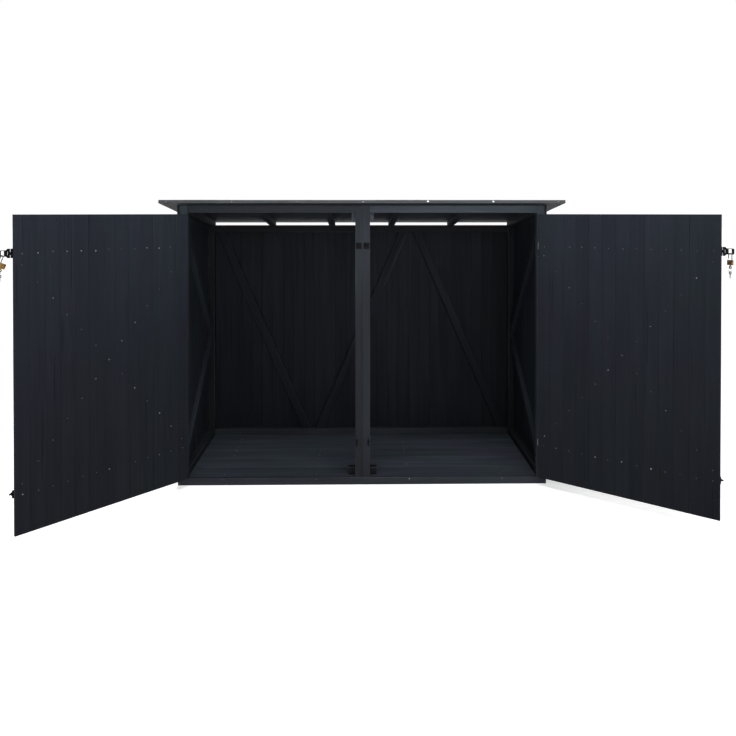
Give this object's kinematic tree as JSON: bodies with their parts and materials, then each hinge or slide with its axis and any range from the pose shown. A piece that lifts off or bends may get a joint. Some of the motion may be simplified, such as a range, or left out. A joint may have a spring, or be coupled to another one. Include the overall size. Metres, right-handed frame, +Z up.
{
  "type": "timber bike shelter",
  "caption": "Low boarded timber bike store with a single-pitch felted roof, a plank floor and double doors on strap hinges, standing open.",
  "frame": {"origin": "middle of the front sill's underside, on the ground", "axes": "+X to the right seen from the front, +Y to the back, +Z up"},
  "size_m": [3.1401, 1.4914, 1.4675],
  "materials": {
    "frame_timber": "blue-black stained, matt",
    "door_boards": "blue-black stained, matt, worn grain",
    "wall_boards": "blue-black stained, matt",
    "floor_timber": "blue-black stained, scuffed",
    "roof_timber": "blue-black stained, matt",
    "roof_felt": "mineral felt, matt",
    "black_steel": "black, satin",
    "galvanised_steel": "galvanised, dull"
  },
  "bodies": {
    "shelter": {"back_bottom_rail": "frame_timber", "back_braces": "frame_timber", "back_post_left": "frame_timber", "back_post_right": "frame_timber", "back_sill": "floor_timber", "back_top_rail": "frame_timber", "back_wall": "wall_boards", "bolt_keepers": "black_steel", "centre_post_left": "frame_timber", "centre_post_right": "frame_timber", "floor_bearers": "floor_timber", "floor_boards": "floor_timber", "floor_end_rails": "floor_timber", "front_post_left": "frame_timber", "front_post_right": "frame_timber", "front_sill": "floor_timber", "head_rail_left": "frame_timber", "head_rail_right": "frame_timber", "hinge_plates": "galvanised_steel", "left_wall": "wall_boards", "left_wall_braces": "frame_timber", "rafters": "roof_timber", "right_wall": "wall_boards", "right_wall_braces": "frame_timber", "roof_boards": "roof_timber", "roof_felt": "roof_felt", "side_bottom_rails": "frame_timber", "side_top_rails": "frame_timber", "staples": "black_steel", "stop_blocks": "frame_timber"},
    "left_door": {"left_bolt_guides": "black_steel", "left_bottom_ledge": "frame_timber", "left_door_boards": "door_boards", "left_door_hinges": "galvanised_steel", "left_door_long_brace": "frame_timber", "left_door_short_braces": "frame_timber", "left_hasp_leaf": "black_steel", "left_top_ledge": "frame_timber"},
    "right_door": {"right_bolt_guides": "black_steel", "right_bottom_ledge": "frame_timber", "right_door_boards": "door_boards", "right_door_hinges": "galvanised_steel", "right_door_long_brace": "frame_timber", "right_door_short_braces": "frame_timber", "right_hasp_leaf": "black_steel", "right_top_ledge": "frame_timber"},
    "left_hasp_flap": {"left_hasp_strap": "black_steel"},
    "right_hasp_flap": {"right_hasp_strap": "black_steel"},
    "left_bolt_rod": {"left_bolt": "galvanised_steel"},
    "right_bolt_rod": {"right_bolt": "galvanised_steel"}
  },
  "joints": [
    {"name": "left_door_hinge", "type": "hinge", "parent": "shelter", "child": "left_door", "pos_m": [-0.908, -0.014, 0.7225], "axis": [0, 0, -1], "range_deg": [-132, 43]},
    {"name": "right_door_hinge", "type": "hinge", "parent": "shelter", "child": "right_door", "pos_m": [0.908, -0.014, 0.7225], "axis": [0, 0, 1], "range_deg": [-142, 33]},
    {"name": "left_hasp_hinge", "type": "hinge", "parent": "left_door", "child": "left_hasp_flap", "pos_m": [-1.48579, -0.65571, 1.232], "axis": [0, 0, -1], "range_deg": [0, 160]},
    {"name": "right_hasp_hinge", "type": "hinge", "parent": "right_door", "child": "right_hasp_flap", "pos_m": [1.58845, -0.54562, 1.232], "axis": [0, 0, 1], "range_deg": [0, 160]},
    {"name": "left_bolt_slide", "type": "slide", "parent": "left_door", "child": "left_bolt_rod", "axis": [-0.6691, -0.7431, 0], "range_m": [0, 0.022]},
    {"name": "right_bolt_slide", "type": "slide", "parent": "right_door", "child": "right_bolt_rod", "axis": [0.788, -0.6157, 0], "range_m": [0, 0.022]}
  ]
}
